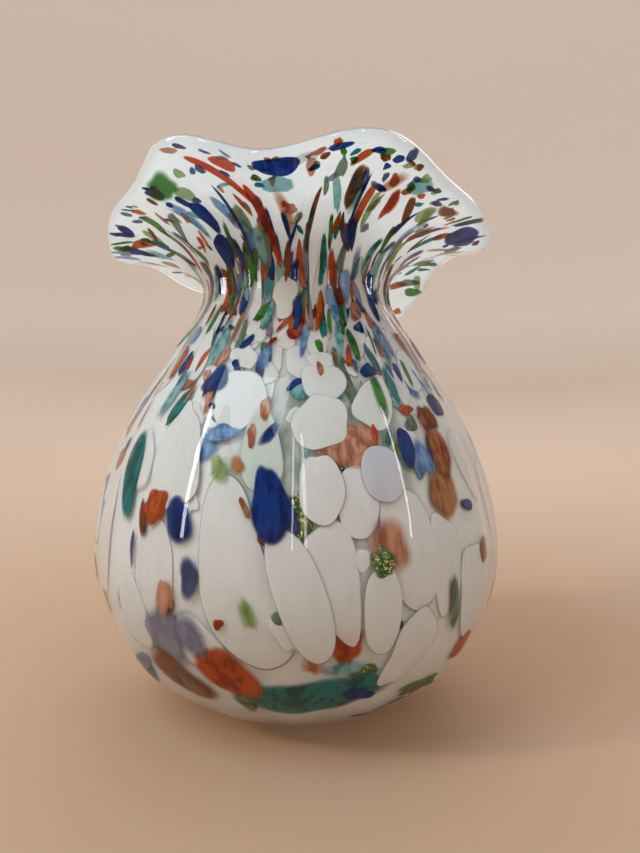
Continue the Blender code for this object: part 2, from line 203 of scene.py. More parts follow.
# Small chips and streaks drawn out at the neck and lip: turn, distance up the wall, length, width
# and lean, in the units of the large chips.
FRIT = {
    "white": (
        (2, 221, 6, 10, 0), (9, 158, 15, 9, 9), (9, 149, 7, 9, 0), (5, 118, 3, 5, 0),
        (-48, 113, 24, 12, -18), (-28, 101, 12, 8, -40), (-8, 94, 7, 3, -40), (15, 84, 8, 5, 4),
        (-20, 150, 11, 9, -40), (-10, 144, 10, 7, -16), (26, 160, 20, 10, 19), (1, 148, 14, 8, 0),
        (-32, 128, 12, 7, -10), (34, 120, 10, 7, 0), (-16, 160, 8, 6, 10), (18, 166, 12, 6, 0),
        (32, 152, 12, 7, 8), (-28, 163, 10, 5, -8), (56, 110, 26, 12, 0), (-24, 58, 22, 14, -20),
        (-45, 64, 26, 16, -8), (40, 132, 9, 7, 0), (-4, 158, 8, 7, 0), (0, 128, 6, 6, 0),
        (38, 140, 16, 9, 10), (48, 146, 20, 9, 14), (-42, 152, 18, 8, -10), (-2, 64, 16, 9, -20),
    ),
    "cobalt": (
        (-46, 220, 7, 5, -12), (-42, 211, 5, 3, -8), (-40, 203, 10, 6, -7), (-76, 221, 8, 4, 48),
        (-12, 195, 10, 3, 0), (-21, 213, 3, 2, -40), (-15, 191, 5, 2, -26), (-32, 189, 7, 3, -15),
        (-54, 183, 8, 4, -7), (-34, 163, 3, 8, 0), (-4, 196, 9, 2, -13), (10, 222, 4, 6, 0),
        (20, 221, 3, 4, 0), (26, 221, 4, 3, 0), (23, 181, 8, 2, 0), (50, 176, 16, 4, 8),
        (30, 163, 5, 4, 24), (27, 145, 7, 5, 50), (40, 115, 15, 2, 12), (0, 139, 7, 3, 50),
        (-26, 131, 3, 2, -50), (-23, 148, 4, 3, -28), (-21, 156, 6, 4, 29), (-63, 117, 6, 4, 0),
        (60, 190, 9, 3, 10), (-29, 173, 8, 3, 0),
    ),
    "slate": (
        (-30, 215, 3, 2, 40), (-38, 208, 3, 2, -40), (-26, 190, 6, 1, -20), (22, 210, 7, 3, -20),
        (27, 214, 4, 2, -10), (35, 220, 3, 3, 0), (50, 218, 3, 5, 0), (26, 193, 8, 4, -28),
        (58, 180, 9, 3, 40), (53, 132, 10, 6, -14), (50, 97, 4, 7, 0), (12, 122, 5, 2, 60),
        (25, 64, 3, 2, -25), (-44, 84, 12, 2, -5), (62, 150, 12, 3, -6),
    ),
    "sky": (
        (-38, 180, 6, 7, 0), (29, 179, 9, 5, 11), (35, 113, 13, 8, 20), (-21, 122, 6, 10, 0),
        (20, 172, 14, 4, 0), (-30, 200, 10, 4, -20),
    ),
    "teal": (
        (-68, 172, 16, 6, 10), (15, 188, 8, 3, -10), (20, 195, 7, 2, -6), (36, 185, 7, 2, 18),
        (84, 196, 5, 4, -40), (122, 215, 9, 3, -54), (26, 120, 6, 2, 14), (-40, 131, 15, 5, 22),
        (-34, 158, 8, 5, 12), (30, 150, 12, 3, -10), (12, 165, 12, 3, 0), (-14, 168, 10, 3, 10),
    ),
    "aqua": (
        (-18, 190, 10, 5, -10), (-8, 182, 8, 4, 0), (-6, 212, 8, 10, 0), (38, 219, 8, 10, 0),
        (15, 204, 11, 3, -18), (34, 141, 12, 5, 20), (33, 133, 6, 4, 50), (1, 137, 8, 5, 0),
        (-16, 177, 9, 4, 0), (44, 190, 10, 4, 10),
    ),
    "red": (
        (-19, 218, 7, 7, 40), (-36, 191, 6, 2, -13), (5, 222, 3, 4, 0), (22, 180, 16, 3, -7),
        (31, 145, 4, 3, 30), (8, 117, 3, 3, 12), (22, 121, 8, 2, 7), (-10, 156, 4, 2, 41),
        (-1, 159, 4, 5, 0), (-62, 160, 12, 3, 10), (-59, 128, 12, 3, 6), (-33, 184, 8, 2, -6),
        (40, 168, 9, 2, 10),
    ),
    "orange": (
        (-60, 220, 5, 4, 43), (-82, 215, 12, 5, -37), (2, 185, 11, 3, -3), (17, 217, 9, 3, 22),
        (-22, 203, 4, 2, -22), (30, 215, 6, 3, -30), (36, 208, 10, 4, -12), (42, 217, 3, 3, 0),
        (60, 218, 5, 9, 20), (34, 178, 8, 2, 7), (36, 130, 4, 7, 0), (-4, 165, 9, 2, 33),
        (-18, 65, 4, 3, 21), (-44, 176, 9, 3, -8),
    ),
    "salmon": (
        (-48, 207, 4, 3, 22), (-50, 198, 5, 2, 12), (-16, 196, 4, 3, -19), (-2, 202, 3, 4, 0),
        (4, 216, 9, 3, -5), (-9, 131, 9, 3, -5), (-12, 121, 8, 2, -8), (-32, 71, 11, 7, -3),
        (-29, 150, 8, 4, 23),
    ),
    "tan": (
        (-58, 212, 9, 2, 30), (-20, 201, 4, 3, -19), (16, 150, 6, 2, -48), (-12, 99, 7, 2, -25),
        (46, 186, 9, 3, 0),
    ),
    "amber": (
        (-38, 172, 8, 5, -50), (23, 219, 3, 3, 0), (32, 170, 9, 5, 21), (-42, 142, 10, 7, 0),
        (58, 46, 16, 5, -40),
    ),
    "brown": (
        (-74, 212, 9, 2, 60), (-50, 219, 6, 2, 15), (-64, 187, 9, 5, -30), (45, 210, 12, 4, -40),
        (-67, 141, 14, 3, 4), (-26, 110, 6, 2, -19), (-7, 90, 6, 3, -37), (55, 81, 6, 9, 0),
        (66, 204, 10, 3, 20), (14, 173, 8, 2, 0),
    ),
    "leaf": (
        (-17, 169, 8, 5, 40), (22, 221, 4, 5, -60), (36, 217, 5, 3, -60), (50, 198, 9, 3, -20),
        (42, 34, 6, 16, -20), (-66, 212, 14, 4, 30), (-62, 194, 8, 4, -20), (17, 193, 7, 2, -10),
        (-24, 127, 3, 3, 0), (-13, 154, 3, 3, 0), (24, 155, 10, 3, 0), (-48, 168, 10, 3, 0),
    ),
    "lime": (
        (-34, 217, 4, 3, 10), (-39, 212, 9, 4, -24), (-24, 197, 7, 4, -20), (53, 212, 8, 9, 60),
        (66, 194, 9, 6, -30), (30, 203, 10, 3, -10),
    ),
    "sage": (
        (-58, 206, 12, 5, 40), (36, 125, 7, 5, 60), (17, 142, 26, 4, -10), (13, 213, 9, 3, -13),
        (10, 207, 6, 2, -11), (-8, 81, 16, 3, -7), (-4, 68, 5, 3, -33), (4, 170, 14, 4, 0),
    ),
    "lavender": ((80, 216, 8, 4, -20), (44, 160, 12, 3, -7), (58, 154, 12, 5, -6), (-52, 42, 16, 7, 50)),
    "violet": ((34, 27, 5, 13, -16), (27, 21, 4, 12, -10), (-60, 98, 16, 3, 4)),
    "glitter": ((-12, 214, 4, 3, 50), (12, 112, 4, 4, 27), (18, 48, 7, 8, 5), (8, 92, 10, 4, 0)),
}

# Small chips in this band up the neck are drawn out by this share of their length.
NECK_BAND = (150, 212)
NECK_DRAW = 0.3

# Softness of the edges of the small chips and of the cloudy patches, from crisp to misty.
FRIT_SOFTNESS = (0.1, 0.3)
CLOUD_SOFTNESS = (0.5, 0.8)

# Soft patches that lie over the chips: glass, turn, distance up the wall, length, width, lean and
# softness.
PATCHES = (
    ("sky", -20, 122, 5, 12, 5, 0.5),
    ("cobalt", -29, 140, 13, 4, 13, 0.35),
    ("salmon", -9, 130, 9, 4, 1, 0.5),
    ("salmon", -12, 121, 9, 3, -5, 0.5),
    ("lime", -20, 111, 11, 7, -33, 0.8),
    ("tan", -15, 112, 8, 5, -23, 0.8),
    ("cobalt", -7, 122, 10, 4, 28, 0.5),
    ("salmon", -32, 71, 14, 9, 8, 0.8),
    ("sky", 36, 114, 16, 9, 12, 0.7),
    ("brown", 46, 127, 9, 8, 20, 0.5),
    ("brown", 55, 82, 10, 7, 0, 0.4),
    ("leaf", 42, 35, 7, 22, 14, 0.5),
    ("brown", -44, 182, 10, 5, -33, 0.3),
    ("cobalt", 28, 194, 7, 4, -24, 0.2),
    ("brown", 24, 179, 13, 4, -8, 0.35),
    ("cobalt", 50, 180, 10, 5, -10, 0.25),
    ("orange", 36, 209, 9, 5, -22, 0.4),
    ("sage", 21, 206, 14, 6, -20, 0.6),
    ("brown", 58, 218, 6, 14, -5, 0.5),
    ("lime", 56, 211, 13, 6, -49, 0.6),
    ("slate", -1, 95, 13, 5, -8, 0.6),
    ("aqua", 12, 50, 6, 16, 0, 0.7),
    ("salmon", 13, 118, 14, 18, 0, 0.6),
    ("lime", -11, 69, 13, 5, -19, 0.8),
    ("leaf", 27, 135, 20, 4, 0, 0.6),
    ("teal", 34, 139, 17, 4, 2, 0.5),
    ("aqua", 2, 119, 15, 3, -6, 0.7),
    ("brown", -41, 94, 14, 4, -10, 0.4),
    ("lavender", -26, 60, 18, 12, -30, 0.8),
    ("teal", 20, 44, 8, 16, 20, 0.7),
    ("salmon", 4, 52, 8, 7, 0, 0.8),
    ("aqua", -46, 136, 22, 6, 14, 0.7),
    ("sky", -12, 150, 12, 6, 10, 0.8),
    ("aqua", 18, 156, 18, 4, 8, 0.7),
)

# Bands of scattered chips: how many, their turns, where they start up the wall with how far and how
# tightly they spread from there, the highest place, their lengths, widths and spread of lean.
SCATTER_BANDS = (
    (230, (58, 290), (226, -82, 1.2), 222, (4, 13), (1.8, 4.5), 18),
    (150, (-70, 68), (136, 70, 1), 206, (5, 15), (1.2, 3.2), 7),
    (90, (-90, 90), (224, -30, 2), 224, (2, 5), (1.2, 3.2), 40),
    (70, (66, 288), (32, 118, 1), 150, (7, 16), (4, 8), 16),
)
SCATTER_COLOURS = (
    "cobalt", "cobalt", "cobalt", "red", "orange", "orange", "salmon", "tan", "brown", "teal",
    "teal", "aqua", "leaf", "leaf", "lime", "sage", "slate", "sky", "lavender", "amber",
)
WHITE_BAND = (44, (64, 290), (40, 125, 1), 165, (15, 30), (9, 15), 12)
NECK_WHITE_BAND = (90, (-180, 180), (136, 42, 1), 178, (8, 20), (4, 8), 7)

# Cloudy patches: how many, where they lie up the wall, their lengths, and widths in the body and in
# the neck, above the place where they turn narrow.
CLOUD_COUNT = 110
CLOUD_PLACES = (30, 218)
CLOUD_LENGTHS = (9, 18)
CLOUD_BODY_WIDTHS = (6, 11)
CLOUD_NECK_WIDTHS = (3, 6)
CLOUD_NECK = 150
CLOUD_LEAN = 10
CLOUD_COLOURS = ("aqua", "aqua", "lime", "salmon", "sky", "sage", "tan", "lavender", "sky")

# The bowl that is floor and backdrop in one: its radius, the width of its wall seen from above, the
# wall's height, and how the corner between them is rounded.
BOWL_RADIUS = 3.2
BOWL_BANK = 1.5
BOWL_HEIGHT = 2.6
BOWL_ROUNDING = 1.3
BOWL_ROUNDING_STEPS = 14
BOWL_FOLD = 0.3

# Tall strip lights that only show as reflections: turn in degrees, width in metres and watts. Then
# their distance from the vase, the height of their middles and how tall they are.
STRIPS = ((-63, 0.17, 12.0), (-8, 0.07, 3.2), (17, 0.10, 3.8), (66, 0.08, 4.4))
STRIP_DISTANCE = 0.95
STRIP_MIDDLE = 0.50
STRIP_TALL = 0.9

# Where every light points, and where the camera stands.
LIGHT_AIM = (0.0, 0.0, 0.09)
CAMERA_PLACE = (0.0, -0.25, 0.102)


def station_slopes():
    """Slope of radius against height at each station, from its neighbours."""
    heights = [height for height, _ in BODY_STATIONS]
    radii = [radius for _, radius in BODY_STATIONS]
    slopes = []
    for i in range(len(heights)):
        before = max(i - 1, 0)
        after = min(i + 1, len(heights) - 1)
        slopes.append((radii[after] - radii[before]) / (heights[after] - heights[before]))
    slopes[-1] = 0.0
    return heights, radii, slopes


def body_radius(height):
    """Smooth curve through the body stations."""
    heights, radii, slopes = station_slopes()
    i = max(k for k in range(len(heights) - 1) if heights[k] <= height)
    span = heights[i + 1] - heights[i]
    x = (height - heights[i]) / span
    start = (1 + 2 * x) * (1 - x) ** 2 * radii[i] + x * (1 - x) ** 2 * span * slopes[i]
    end = x * x * (3 - 2 * x) * radii[i + 1] + x * x * (x - 1) * span * slopes[i + 1]
    return start + end


def wall_curve():
    """The outer wall before it is ruffled, as rows of (radius, height, flare), with its lengths."""
    neck_height, neck_radius = BODY_STATIONS[-1]
    rows = []
    for height in np.linspace(0.0, neck_height, CURVE_STEPS, endpoint=False):
        rows.append((body_radius(height), height, 0.0))
    for flare in np.linspace(0.0, 1.0, CURVE_STEPS // 3):
        swing = flare * math.pi / 2
        radius = neck_radius + (RIM_RADIUS - neck_radius) * (1 - math.cos(swing))
        height = neck_height + (RIM_HEIGHT - neck_height) * math.sin(swing)
        rows.append((radius, height, flare))
    rows = np.array(rows)
    steps = np.hypot(np.diff(rows[:, 0]), np.diff(rows[:, 1]))
    return rows, np.concatenate([[0.0], np.cumsum(steps)])


CURVE, LENGTHS = wall_curve()
WALL_LENGTH = LENGTHS[-1]


def on_curve(place, column):
    """One column of the wall's curve at distances along it."""
    return np.interp(place, LENGTHS, CURVE[:, column])


def wall_point(along, depth):
    """(radius, height, flare) at distances along the wall and depths into it."""
    place = np.clip(along, 0.0, WALL_LENGTH)
    low = np.maximum(place - SLOPE_REACH, 0.0)
    high = np.minimum(place + SLOPE_REACH, WALL_LENGTH)
    radius, height, flare = (on_curve(place, i) for i in range(3))
    run = on_curve(high, 0) - on_curve(low, 0)
    rise = on_curve(high, 1) - on_curve(low, 1)
    size = np.hypot(run, rise)
    depth = depth * (1 + FLOOR_EXTRA * np.maximum(0.0, 1 - height / FLOOR_FADE) ** 2)
    depth = depth * (1 - LIP_THINNING * flare)
    return radius - depth * rise / size, height + depth * run / size, flare


def shaped(radius, height, flare, turn, rib):
    """Points after ribbing and ruffling. Turn is in radians from the front."""
    wall = bpy.context.scene.vase_wall
    out = np.zeros_like(turn)
    up = np.zeros_like(turn)
    for lobe_turn, spread, lobe_out, lobe_up in LOBES:
        off = (np.degrees(turn) - lobe_turn + 180) % 360 - 180
        share = np.exp(-((off / spread) ** 2))
        out += lobe_out * share
        up += lobe_up * share
    swing = flare * math.pi / 2
    fade = np.minimum(1.0, height / FLOOR_FADE) * (1 - RIB_FLARE_FADE * flare)
    crest = np.cos(wall.rib_count * turn) + RIB_SHARPNESS * np.cos(2 * wall.rib_count * turn)
    ribs = rib * wall.rib_rise * fade * crest / (1 + RIB_SHARPNESS)
    radius = radius + out * (1 - np.cos(swing)) + ribs
    height = height + up * np.sin(swing)
    return np.column_stack([radius * np.sin(turn), -radius * np.cos(turn), height])


# Shader helpers.


class Value:
    """A shader number that takes part in Python sums by adding Math nodes."""

    def __init__(self, finish, socket):
        self.finish = finish
        self.socket = socket

    def sum(self, operation, first, second):
        inputs = {0: first, 1: second}
        return self.finish.node("ShaderNodeMath", {"operation": operation}, inputs, 0)

    def __add__(self, other):
        return self.sum("ADD", self, other)

    def __radd__(self, other):
        return self.sum("ADD", other, self)

    def __sub__(self, other):
        return self.sum("SUBTRACT", self, other)

    def __rsub__(self, other):
        return self.sum("SUBTRACT", other, self)

    def __mul__(self, other):
        return self.sum("MULTIPLY", self, other)

    def __rmul__(self, other):
        return self.sum("MULTIPLY", other, self)

    def above(self, limit):
        return self.sum("GREATER_THAN", self, limit)

    def highest(self, other):
        return self.sum("MAXIMUM", self, other)


class Finish:
    """A material and the one way its nodes are added."""

    def __init__(self, name):
        self.material = bpy.data.materials.new(name)
        self.material.use_nodes = True
        self.tree = self.material.node_tree
        self.tree.nodes.clear()

    def node(self, kind, settings, inputs, output):
        made = self.tree.nodes.new(kind)
        for key, value in settings.items():
            setattr(made, key, value)
        for key, value in inputs.items():
            if isinstance(value, Value):
                self.tree.links.new(value.socket, made.inputs[key])
            else:
                made.inputs[key].default_value = value
        return Value(self, made.outputs[output]) if output is not None else made

    def place(self, stretch, shift=(0.0, 0.0, 0.0), scale=1.0):
        """Object coordinates, stretched and then shifted."""
        spot = self.node("ShaderNodeTexCoord", {}, {}, "Object")
        size = tuple(part * scale for part in stretch)
        inputs = {"Vector": spot, "Location": shift, "Scale": size}
        return self.node("ShaderNodeMapping", {}, inputs, 0)

    def noise(self, stretch, scale, detail, distortion=0.0):
        inputs = {
            "Vector": self.place(stretch),
            "Scale": scale,
            "Detail": detail,
            "Distortion": distortion,
        }
        return self.node("ShaderNodeTexNoise", {}, inputs, "Fac")

    def eased(self, value, low, high, start=0.0, end=1.0):
        """A smooth step from start to end as the value goes from low to high."""
        inputs = {"Value": value, 1: low, 2: high, 3: start, 4: end}
        settings = {"interpolation_type": "SMOOTHSTEP"}
        return self.node("ShaderNodeMapRange", settings, inputs, 0)

    def attribute(self, name):
        return self.node("ShaderNodeAttribute", {"attribute_name": name}, {}, "Fac")

    def blend(self, share, first, second):
        inputs = {"Factor": share, 6: first, 7: second}
        return self.node("ShaderNodeMix", {"data_type": "RGBA"}, inputs, 2)

    def mix(self, share, first, second):
        return self.node("ShaderNodeMixShader", {}, {0: share, 1: first, 2: second}, 0)

    def end(self, shader):
        self.node("ShaderNodeOutputMaterial", {}, {"Surface": shader}, None)
        return self.material


def rgba(colour):
    """A colour with its alpha, as sockets take it."""
    return (*colour, 1.0)


def clear_glass():
    """Clear, faintly wavy glass that lets lamps and soft light straight through."""
    finish = Finish("clear_glass")
    wave = finish.noise((1.0, 1.0, 0.35), 70.0, 1.0)
    bump = {"Height": wave, "Strength": 0.10, "Distance": 0.001}
    inputs = {
        "Base Color": rgba(bpy.context.scene.vase_glass.clear),
        "Roughness": 0.0,
        "IOR": 1.5,
        "Transmission Weight": 1.0,
        "Specular Tint": (0.4, 0.4, 0.4, 1.0),
        "Normal": finish.node("ShaderNodeBump", {}, bump, 0),
    }
    glass = finish.node("ShaderNodeBsdfPrincipled", {}, inputs, 0)
    through = finish.node("ShaderNodeBsdfTransparent", {}, {}, 0)
    shadow = finish.node("ShaderNodeLightPath", {}, {}, "Is Shadow Ray")
    soft = finish.node("ShaderNodeLightPath", {}, {}, "Is Diffuse Ray")
    return finish.end(finish.mix(shadow.highest(soft), glass, through))


def milk_glass():
    """Thin cloudy white that light glows through, with painted shade at the front where the bubble was
    blown thin: a dark grey-green for the inside seen through it.
    """
    finish = Finish("opal_milk")
    glass = bpy.context.scene.vase_glass
    cloud = finish.noise((1.0, 1.0, 0.5), 38.0, 3.0, 0.6)
    tone = finish.blend(finish.eased(cloud, 0.25, 0.5), rgba(glass.milk_deep), rgba(glass.milk))
    # Painted shade: at the front the milk turns, in vertical stripes, towards a dark grey-green that
    # stands for the shaded inside seen through the thin milk.
    zone = {"Vector": finish.place((1.0, 1.0, 1.0), (-0.28, 1.72, -2.50), 26.0)}
    painted_shade_zone = finish.node("ShaderNodeTexGradient", {"gradient_type": "SPHERICAL"}, zone, "Fac")
    stripe = finish.noise((1.0, 1.0, 0.06), 260.0, 2.0)
    share = finish.eased(painted_shade_zone, 0.0, 0.6) * finish.eased(stripe, 0.35, 0.62, 0.35, 0.95)
    tone = finish.blend(share, tone, rgba(glass.thin_milk_shade))
    inputs = {"Base Color": tone, "Roughness": 0.4, "Specular IOR Level": 0.2}
    front = finish.node("ShaderNodeBsdfPrincipled", {}, inputs, 0)
    glow = finish.node("ShaderNodeBsdfTranslucent", {}, {"Color": tone}, 0)
    clear = finish.node("ShaderNodeBsdfTransparent", {}, {}, 0)
    flare = finish.attribute("flare")
    cover = finish.eased(flare, 0.0, 0.9, glass.body_cover, glass.rim_cover)
    patch = finish.eased(cloud, 0.3, 0.6, 0.85, 1.0)
    body = finish.mix(finish.eased(flare, 0.0, 0.6, 0.35, 0.85), front, glow)
    return finish.end(finish.mix(cover * patch, clear, body))


# Chip glasses: colour, colour of their streaks and of the painted shade along their edges, how much of
# the light glows through, and the slot.
CHIP_GLASSES = {
    "white": ((0.77, 0.785, 0.79), (0.34, 0.38, 0.36), 0.22, "opal_white"),
    "mint": ((0.67, 0.74, 0.70), (0.26, 0.36, 0.28), 0.25, "opal_white"),
    "pearl": ((0.64, 0.66, 0.74), (0.30, 0.32, 0.38), 0.25, "opal_white"),
    "cobalt": ((0.002, 0.045, 0.27), (0.001, 0.012, 0.10), 0.35, "cobalt_glass"),
    "slate": ((0.10, 0.12, 0.26), (0.05, 0.06, 0.16), 0.35, "slate_glass"),
    "lavender": ((0.32, 0.32, 0.44), (0.24, 0.24, 0.36), 0.35, "lavender_glass"),
    "salmon": ((0.68, 0.36, 0.23), (0.40, 0.12, 0.05), 0.35, "salmon_glass"),
    "tan": ((0.50, 0.23, 0.09), (0.22, 0.08, 0.03), 0.35, "tan_glass"),
    "amber": ((0.26, 0.05, 0.012), (0.52, 0.20, 0.06), 0.40, "amber_glass"),
    "orange": ((0.62, 0.12, 0.02), (0.34, 0.05, 0.01), 0.40, "orange_glass"),
    "red": ((0.66, 0.075, 0.012), (0.26, 0.02, 0.005), 0.40, "orange_glass"),
    "sky": ((0.28, 0.46, 0.70), (0.08, 0.22, 0.50), 0.40, "aqua_glass"),
    "violet": ((0.10, 0.08, 0.24), (0.05, 0.04, 0.14), 0.35, "lavender_glass"),
    "brown": ((0.26, 0.06, 0.015), (0.10, 0.02, 0.006), 0.35, "brown_glass"),
    "teal": ((0.015, 0.25, 0.26), (0.01, 0.10, 0.10), 0.40, "teal_glass"),
    "aqua": ((0.32, 0.58, 0.58), (0.05, 0.30, 0.32), 0.40, "aqua_glass"),
    "leaf": ((0.07, 0.27, 0.04), (0.02, 0.11, 0.02), 0.40, "leaf_green_glass"),
    "sage": ((0.22, 0.30, 0.21), (0.10, 0.15, 0.10), 0.40, "leaf_green_glass"),
    "lime": ((0.42, 0.52, 0.26), (0.16, 0.30, 0.06), 0.45, "leaf_green_glass"),
    "glitter": ((0.035, 0.085, 0.03), (0.10, 0.20, 0.08), 0.15, "glitter_green_glass"),
}
GLITTER = (0.85, 0.70, 0.25)
OPALS = ("white", "mint", "pearl")


def chip_glass(name):
    """Coloured glass, streaked along its length, with painted shade along its edge, and fading at its
    edge as far as it is soft.
    """
    colour, streak_and_edge_shade, glow, _ = CHIP_GLASSES[name]
    finish = Finish(name + "_chips")
    edge = finish.attribute("edge")
    soft = finish.attribute("soft")
    grain = finish.noise((1.0, 1.0, 0.12), 420.0, 2.0)
    cloud = finish.noise((1.0, 1.0, 0.6), 110.0, 2.0)
    opal = name in OPALS
    share = finish.eased(grain + cloud * 0.5, 0.68, 0.88) * (0.06 if opal else 0.9)
    crisp = 1.0 - (soft - 0.1) * 20.0
    # Painted shade: a thin band in the streak colour along each chip's edge, left off soft chips.
    painted_edge_shade = finish.eased(edge, 0.965, 1.0) * (0.5 if opal else 0.4) * crisp.highest(0.0)
    tone = finish.blend(share.highest(painted_edge_shade), rgba(colour), rgba(streak_and_edge_shade))
    inputs = {"Base Color": tone, "Roughness": 0.35, "Specular IOR Level": 0.0}
    if name == "glitter":
        spots = {"Vector": finish.place((1.0, 1.0, 1.0)), "Scale": 3600.0}
        cell = finish.node("ShaderNodeTexVoronoi", {}, spots, "Color")
        pick = finish.node("ShaderNodeSeparateColor", {}, {0: cell}, 0)
        fleck = pick.above(0.88)
        inputs["Base Color"] = finish.blend(fleck, tone, rgba(GLITTER))
        inputs["Metallic"] = fleck
    front = finish.node("ShaderNodeBsdfPrincipled", {}, inputs, 0)
    through = finish.node("ShaderNodeBsdfTranslucent", {}, {"Color": tone}, 0)
    clear = finish.node("ShaderNodeBsdfTransparent", {}, {}, 0)
    fade = finish.eased(1.0 - edge, 0.0, soft)
    solid = finish.mix(glow, front, through)
    # The light crosses two faces of a chip, so each face holds back half of the colour.
    filtered = tuple(part**0.5 for part in colour)
    stained = finish.node("ShaderNodeBsdfTransparent", {}, {"Color": rgba(filtered)}, 0)
    share = finish.eased(finish.attribute("flare"), 0.0, 0.7, 0.15, 0.75)
    if name != "glitter":
        solid = finish.mix(share, solid, stained)
    return finish.end(finish.mix(fade.highest(crisp), clear, solid))


# Modelling helpers.


def deselect():
    """Goes to object mode with nothing selected."""
    if bpy.context.mode != "OBJECT":
        bpy.ops.object.mode_set(mode="OBJECT")
    bpy.ops.object.select_all(action="DESELECT")


def points_of(mesh):
    """A mesh's points, one row each."""
    points = np.empty(len(mesh.vertices) * 3)
    mesh.vertices.foreach_get("co", points)
    return points.reshape(-1, 3)


def turned(name, outline, ribs, steps):
    """Draws an outline from a point, spins it round the axis, then ribs and ruffles it."""
    radius, height, flare = outline.T
    deselect()
    bpy.ops.mesh.primitive_plane_add(size=MM, location=(radius[0], 0.0, height[0]))
    shell = bpy.context.object
    shell.name = name
    bpy.ops.object.transform_apply(location=True)
    bpy.ops.object.mode_set(mode="EDIT")
    bpy.ops.mesh.select_mode(type="VERT")
    bpy.ops.mesh.merge(type="CENTER")
    for i in range(1, len(outline)):
        step = (radius[i] - radius[i - 1], 0.0, height[i] - height[i - 1])
        bpy.ops.mesh.extrude_region_move(TRANSFORM_OT_translate={"value": step})
    bpy.ops.mesh.select_all(action="SELECT")
    bpy.ops.mesh.spin(
        steps=steps, angle=math.tau, center=(0.0, 0.0, 0.0), axis=(0.0, 0.0, 1.0)
    )
    bpy.ops.mesh.select_all(action="SELECT")
    bpy.ops.mesh.remove_doubles(threshold=MERGE)
    bpy.ops.mesh.normals_make_consistent(inside=False)
    bpy.ops.object.mode_set(mode="OBJECT")
    points = points_of(shell.data)
    reach = np.hypot(points[:, 0], points[:, 1])
    row = np.array([
        np.argmin((radius - r) ** 2 + (height - z) ** 2) for r, z in zip(reach, points[:, 2])
    ])
    turn = np.arctan2(points[:, 0], -points[:, 1])
    moved = shaped(radius[row], height[row], flare[row], turn, ribs[row])
    shell.data.vertices.foreach_set("co", moved.ravel())
    flares = shell.data.attributes.new("flare", "FLOAT", "POINT")
    flares.data.foreach_set("value", flare[row])
    shell.data.shade_smooth()
    shell.data.update()
    return shell


def outline_rows(start, end, depth, spacing):
    """Evenly spaced outline rows up the wall at one depth."""
    marks = np.linspace(start, end, round((end - start) / spacing) + 1)
    return np.column_stack(wall_point(marks, depth))


def lens_blank(segments, rings):
    """A flat lens of glass that chips are cut from, with its poles front and back."""
    deselect()
    bpy.ops.mesh.primitive_uv_sphere_add(segments=segments, ring_count=rings, radius=1.0)
    blank = bpy.context.object
    bpy.ops.object.mode_set(mode="EDIT")
    bpy.ops.mesh.select_all(action="SELECT")
    bpy.ops.transform.rotate(
        value=math.pi / 2,
        orient_axis="X",
        orient_type="GLOBAL",
        center_override=(0.0, 0.0, 0.0),
    )
    bpy.ops.object.mode_set(mode="OBJECT")
    return blank


def bent_to_wall(points, turn, along, length, width, lean, level, taper, bend, wobble):
    """A blank's points taken to their place in the wall, in metres, and how far each is up the flare."""
    x, y, z = points.T
    angle = np.arctan2(z, x)
    square = np.abs(np.cos(angle)) ** SQUARENESS + np.abs(np.sin(angle)) ** SQUARENESS
    uneven = sum(size * np.sin(waves * angle + phase) for waves, size, phase in wobble)
    swell = square ** (-1 / SQUARENESS) + uneven
    across = x * swell * (1 + taper * z) + bend * (z * z - BEND_BALANCE)
    climb = z * swell
    across, climb = across * width * MM / 2, climb * length * MM / 2
    tilt = math.radians(lean)
    side = across * math.cos(tilt) + climb * math.sin(tilt)
    rise = climb * math.cos(tilt) - across * math.sin(tilt)
    depth = FIRST_DEPTH + LEVEL_DEPTH * level
    deep = depth + (1 + np.sign(y) * np.abs(y) ** EDGE_FULLNESS) * CHIP_THICKNESS / 2
    place = along * MM + rise
    middle = wall_point(np.array([along * MM]), depth)[0][0]
    radius, height, flare = wall_point(place, deep)
    return shaped(radius, height, flare, math.radians(turn) + side / middle, 0.0), flare


def wobble_of(dice, size):
    """Waves that make an outline uneven: how many round it, how high, and where each starts."""
    return [
        (waves, dice.uniform(0, size) / waves**0.5, dice.uniform(0, math.tau))
        for waves in WOBBLE_WAVES
    ]


def write_field(mesh, name, values):
    """Stores one number for each point, for the materials."""
    field = mesh.attributes.new(name, "FLOAT", "POINT")
    field.data.foreach_set("value", values)


def edge_of(points):
    """How near each point of a blank is to its edge, from 0 in the middle to 1."""
    return np.hypot(points[:, 0], points[:, 2])


def settle(piece, slot, *nodes):
    """Says what the piece rides on and hides the frame's nodes that it stands for; its slot is not used.
    """
    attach(piece, "root")
    if nodes:
        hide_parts(*nodes)


def chip_from(blank, name, chip, dice):
    """A copy of the blank, with its own mesh, shaped and placed as one chip."""
    _, _, turn, along, length, width, lean, level, taper, bend, soft = chip
    piece = bpy.data.objects.new(name, blank.data.copy())
    bpy.context.scene.collection.objects.link(piece)
    piece.data.name = name
    points = points_of(piece.data)
    wobble = wobble_of(dice, LONG_WOBBLE if length > LONG_CHIP else SHORT_WOBBLE)
    moved, flare = bent_to_wall(points, turn, along, length, width, lean, level, taper, bend, wobble)
    write_field(piece.data, "edge", edge_of(points))
    write_field(piece.data, "soft", np.full(len(points), soft))
    write_field(piece.data, "flare", flare)
    piece.data.vertices.foreach_set("co", moved.ravel())
    piece.data.shade_smooth()
    piece.data.update()
    return piece


class WallSettings(bpy.types.PropertyGroup):
    rib_count: bpy.props.IntProperty(name="Ribs", description="Soft ribs round the wall", default=14)
    rib_rise: bpy.props.FloatProperty(
        name="Rib rise", description="How far a rib stands out", default=0.0009, unit="LENGTH"
    )
    turn_steps: bpy.props.IntProperty(
        name="Turn steps", description="Divisions round the axis", default=252
    )
    row: bpy.props.FloatProperty(
        name="Row", description="Height of one row of the wall", default=0.0026, unit="LENGTH"
    )


